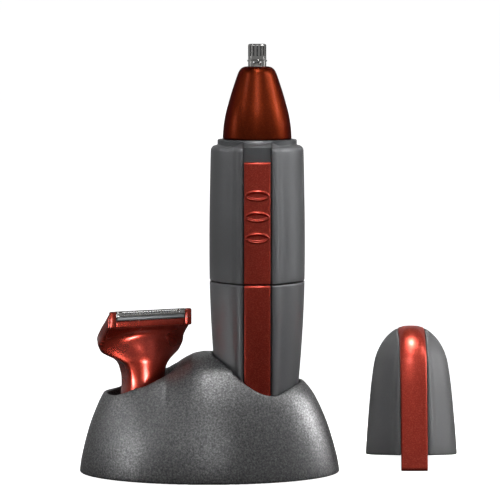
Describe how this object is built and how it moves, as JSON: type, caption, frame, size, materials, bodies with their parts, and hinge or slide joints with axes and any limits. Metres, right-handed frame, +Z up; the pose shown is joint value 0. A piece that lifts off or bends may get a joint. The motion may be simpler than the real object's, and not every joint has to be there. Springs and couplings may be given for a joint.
{
  "type": "nose hair trimmer",
  "caption": "Battery nose hair trimmer with a slotted rotary cutter and thumb slide, standing in an oval stand with a spare T-shaped shaver head and a protective cap.",
  "frame": {"origin": "centre of the rubber pad under the stand, on the table", "axes": "+Z up along the trimmer, +X towards the cap, -Y towards the front that carries the slide switch"},
  "size_m": [0.1187, 0.0572, 0.1327],
  "materials": {
    "housing_grey": "satin graphite",
    "core_grey": "satin graphite",
    "trim_red": "metallic lacquer",
    "switch_red": "metallic lacquer",
    "cone_copper": "satin metallic",
    "shaver_red": "metallic lacquer",
    "stand_grey": "coarse sparkle",
    "cap_grey": "satin graphite",
    "steel": "polished",
    "steel_dark": "brushed",
    "spring_steel": "drawn",
    "black_plastic": "matt",
    "white_plastic": "matt",
    "rubber_black": "matt",
    "cell_jacket": "gloss",
    "nickel": "polished",
    "brass": "plain",
    "copper_wire": "enamelled",
    "magnet": "matt",
    "motor_steel": "zinc plated"
  },
  "bodies": {
    "stand": {"stand_shell": "stand_grey", "base_plate": "black_plastic", "base_pad": "rubber_black", "ballast_plate": "steel_dark", "base_screws": "nickel"},
    "battery_section": {"battery_cover": "core_grey", "lower_grip_left": "housing_grey", "lower_grip_right": "housing_grey", "lower_trim_strip": "trim_red", "negative_contact": "nickel", "battery_spring": "spring_steel", "side_conductor": "brass", "battery_cell": "cell_jacket", "battery_terminal": "nickel"},
    "motor_section": {"upper_core": "core_grey", "upper_grip_left": "housing_grey", "upper_grip_right": "housing_grey", "rear_trim_strip": "trim_red", "housing_seal": "rubber_black", "motor_can": "motor_steel", "motor_front_bush": "brass", "motor_end_cap": "white_plastic", "motor_magnets": "magnet", "motor_terminals": "brass", "motor_carrier": "black_plastic", "motor_screws": "nickel", "positive_contact": "nickel", "switch_fixed_contact": "brass", "negative_tab": "brass", "neck_seal": "rubber_black"},
    "switch": {"switch_slider": "switch_red", "switch_carrier": "black_plastic", "switch_contact_leaf": "brass"},
    "motor_rotor": {"motor_armature": "steel_dark", "motor_windings": "copper_wire", "commutator": "brass", "motor_shaft": "steel", "drive_coupling": "white_plastic"},
    "nose_head": {"nose_head_cone": "cone_copper", "fixed_blade": "steel", "spindle_retainer": "white_plastic", "blade_spring": "spring_steel"},
    "blade_rotor": {"turning_blade": "steel_dark", "blade_spindle": "white_plastic"},
    "shaver_head": {"shaver_body": "shaver_red", "foil_frame": "shaver_red", "shaver_foil": "steel", "guard_bar": "steel_dark", "comb_holder": "black_plastic", "spindle_bush": "white_plastic"},
    "shaver_spindle": {"eccentric_spindle": "white_plastic"},
    "shaver_cutter": {"moving_cutter": "steel", "blade_carrier": "white_plastic"},
    "cap": {"cap_shell": "cap_grey", "cap_trim_strip": "trim_red"}
  },
  "joints": [
    {"name": "trimmer_lift", "type": "slide", "parent": "stand", "child": "battery_section", "axis": [0, 0, 1], "range_m": [0, 0.06]},
    {"name": "housing_pull", "type": "slide", "parent": "battery_section", "child": "motor_section", "axis": [0, 0, 1], "range_m": [0, 0.045]},
    {"name": "switch_slide", "type": "slide", "parent": "motor_section", "child": "switch", "axis": [0, 0, 1], "range_m": [0, 0.0035]},
    {"name": "motor_spin", "type": "hinge", "parent": "motor_section", "child": "motor_rotor", "pos_m": [0.01475, 0, 0.08], "axis": [0, 0, 1], "continuous": true},
    {"name": "head_pull", "type": "slide", "parent": "motor_section", "child": "nose_head", "axis": [0, 0, 1], "range_m": [0, 0.03]},
    {"name": "cutter_spin", "type": "hinge", "parent": "nose_head", "child": "blade_rotor", "pos_m": [0.01475, 0, 0.115], "axis": [0, 0, 1], "continuous": true},
    {"name": "shaver_lift", "type": "slide", "parent": "stand", "child": "shaver_head", "axis": [0, 0, 1], "range_m": [0, 0.034]},
    {"name": "shaver_spindle_spin", "type": "hinge", "parent": "shaver_head", "child": "shaver_spindle", "pos_m": [-0.0205, 0, 0.03], "axis": [0, 0, 1], "continuous": true},
    {"name": "shaver_blade_slide", "type": "slide", "parent": "shaver_head", "child": "shaver_cutter", "axis": [0.9135, 0.4067, 0], "range_m": [-0.0006, 0.0006]},
    {"name": "cap_lift", "type": "slide", "parent": "stand", "child": "cap", "axis": [0, 0, 1], "range_m": [0, 0.06]}
  ],
  "couplings": [
    {"joint": "cutter_spin", "follows": "motor_spin", "ratio": 1}
  ]
}
